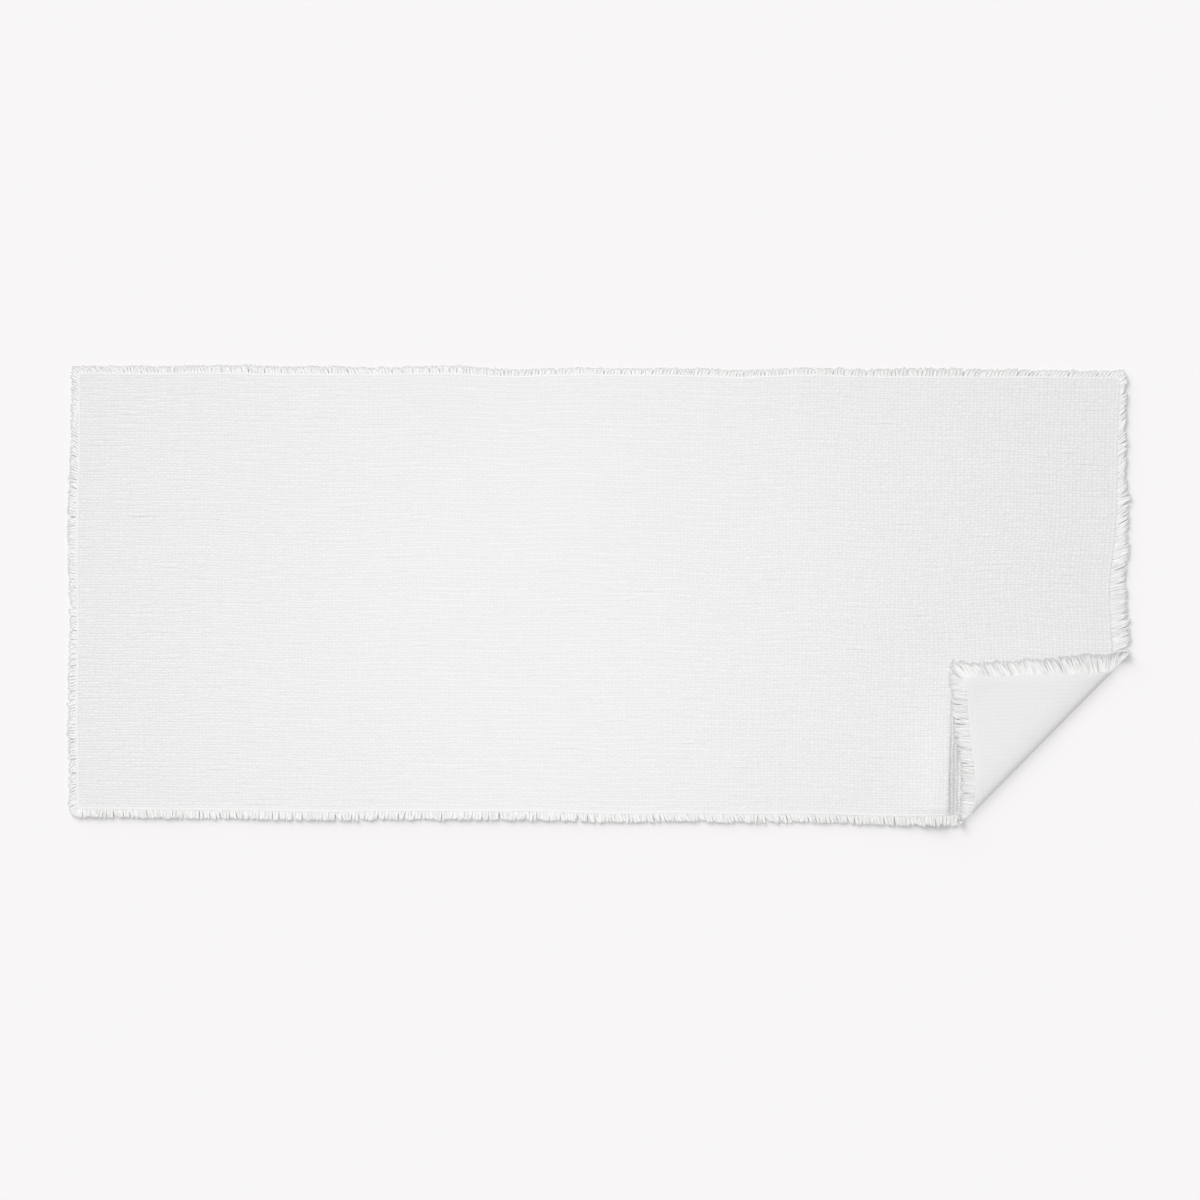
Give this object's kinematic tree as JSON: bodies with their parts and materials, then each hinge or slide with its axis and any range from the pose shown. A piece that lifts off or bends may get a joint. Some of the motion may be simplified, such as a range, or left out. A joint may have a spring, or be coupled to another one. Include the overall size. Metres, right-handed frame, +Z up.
{
  "type": "table runner",
  "caption": "Flat rectangular woven cotton table runner with a short frayed fringe on every side and one corner folded over.",
  "frame": {"origin": "middle of the laid-out runner's outline, fringe included, at the level of the table it lies on", "axes": "+X along the runner towards the end with the folded corner, +Y across it away from the folded corner's side, +Z up from the table"},
  "size_m": [0.911, 0.3936, 0.01],
  "materials": {
    "cloth": "matt undyed white cotton in a thick plain weave",
    "fringe": "matt loose cotton yarn ends",
    "thread": "matt fine cotton sewing thread"
  },
  "bodies": {
    "panel": {"main_cloth": "cloth", "fringe_back": "fringe", "fringe_left": "fringe", "fringe_front": "fringe", "fringe_right": "fringe", "needle_thread": "thread", "bobbin_thread": "thread", "fold_cloth": "cloth", "fold_fringe_front": "fringe", "fold_fringe_right": "fringe"},
    "corner": {"corner_cloth": "cloth", "corner_fringe_front": "fringe", "corner_fringe_right": "fringe", "corner_needle_thread": "thread", "corner_bobbin_thread": "thread"}
  },
  "joints": [
    {"name": "corner_fold", "type": "hinge", "parent": "panel", "child": "corner", "pos_m": [0.379, -0.12797, 0.00516], "axis": [0.7021, 0.712, 0], "range_deg": [0, 183], "deforming": ["fold_cloth", "fold_fringe_front", "fold_fringe_right"]}
  ]
}
